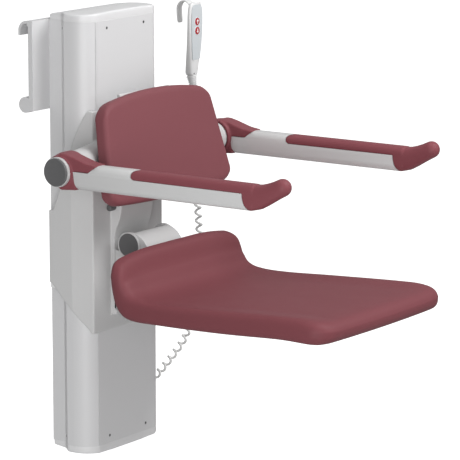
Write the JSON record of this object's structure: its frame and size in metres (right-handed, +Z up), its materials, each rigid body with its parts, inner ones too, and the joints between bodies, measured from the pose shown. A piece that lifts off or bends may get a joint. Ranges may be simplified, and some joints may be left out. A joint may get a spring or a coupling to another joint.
{
  "type": "height-adjustable shower seat",
  "caption": "Wall-hung shower seat with a slim motor column, a lifting carriage, a folding seat, a backrest, folding armrests and a corded handset.",
  "frame": {"origin": "on the wall plane, in the middle of the column, at the height of the wall rail's top edge, where the hanger bears", "axes": "+X to the right as seen from in front, +Y into the wall, +Z up; the seat points along -Y"},
  "size_m": [0.8067, 0.871, 1.009],
  "materials": {
    "cushion": "satin",
    "soft_skin": "satin",
    "cap": "satin",
    "coated_metal": "satin",
    "arm_metal": "satin",
    "screw": "satin",
    "steel": "brushed",
    "dark_plastic": "matt",
    "black_rubber": "matt",
    "glide": "matt",
    "button_red": "satin",
    "label": "satin",
    "board": "matt",
    "cord": "satin",
    "white_plastic": "satin"
  },
  "bodies": {
    "column": {"column_profile": "coated_metal", "front_cover": "coated_metal", "top_cap": "white_plastic", "bottom_cap": "white_plastic", "cover_screws": "screw", "groove_screws": "screw", "top_bracket": "steel", "bottom_bracket": "steel", "wall_hanger": "coated_metal", "lock_rod": "steel", "wall_pad": "black_rubber", "actuator_housing": "dark_plastic", "actuator_tube": "steel", "control_box": "dark_plastic", "cord_socket": "dark_plastic", "handset_front": "white_plastic", "handset_back": "white_plastic", "handset_hook": "white_plastic", "handset_label": "label", "handset_screw": "screw", "handset_board": "board", "handset_strain_relief": "cord", "curly_cord": "cord"},
    "button_up": {"button_up": "button_red"},
    "button_down": {"button_down": "button_red"},
    "carriage": {"carriage_shell": "white_plastic", "carriage_plate": "steel", "drive_blades": "steel", "sled_plate": "steel", "side_glides": "glide", "sled_glides": "glide", "actuator_rod": "steel", "rod_bolt": "steel", "arm_carrier_left": "white_plastic", "arm_carrier_right": "white_plastic", "arm_pin_left": "steel", "arm_pin_right": "steel", "back_bracket": "white_plastic", "back_plate": "white_plastic", "backrest_cushion": "cushion", "back_knobs": "cap", "seat_knuckle": "white_plastic", "seat_pin": "steel"},
    "seat": {"seat_cushion": "cushion", "seat_plate": "steel", "seat_bracket": "white_plastic", "seat_caps": "cap", "seat_stops": "black_rubber"},
    "arm_left": {"arm_hub_left": "white_plastic", "arm_skin_left": "soft_skin", "arm_cap_left": "cap", "arm_tube_left": "arm_metal", "arm_pad_left": "soft_skin"},
    "arm_right": {"arm_hub_right": "white_plastic", "arm_skin_right": "soft_skin", "arm_cap_right": "cap", "arm_tube_right": "arm_metal", "arm_pad_right": "soft_skin"}
  },
  "joints": [
    {"name": "lift", "type": "slide", "parent": "column", "child": "carriage", "axis": [0, 0, 1], "range_m": [-0.24, 0.12]},
    {"name": "seat_fold", "type": "hinge", "parent": "carriage", "child": "seat", "pos_m": [0, -0.223, -0.492], "axis": [-1, 0, 0], "range_deg": [0, 78]},
    {"name": "arm_left_fold", "type": "hinge", "parent": "carriage", "child": "arm_left", "pos_m": [-0.298, -0.223, -0.289], "axis": [-1, 0, 0], "range_deg": [0, 90]},
    {"name": "arm_right_fold", "type": "hinge", "parent": "carriage", "child": "arm_right", "pos_m": [0.298, -0.223, -0.289], "axis": [-1, 0, 0], "range_deg": [0, 90]},
    {"name": "button_up_press", "type": "slide", "parent": "column", "child": "button_up", "axis": [0, 1, 0], "range_m": [0, 0.001], "stiffness_N_per_m": 2000},
    {"name": "button_down_press", "type": "slide", "parent": "column", "child": "button_down", "axis": [0, 1, 0], "range_m": [0, 0.001], "stiffness_N_per_m": 2000}
  ]
}
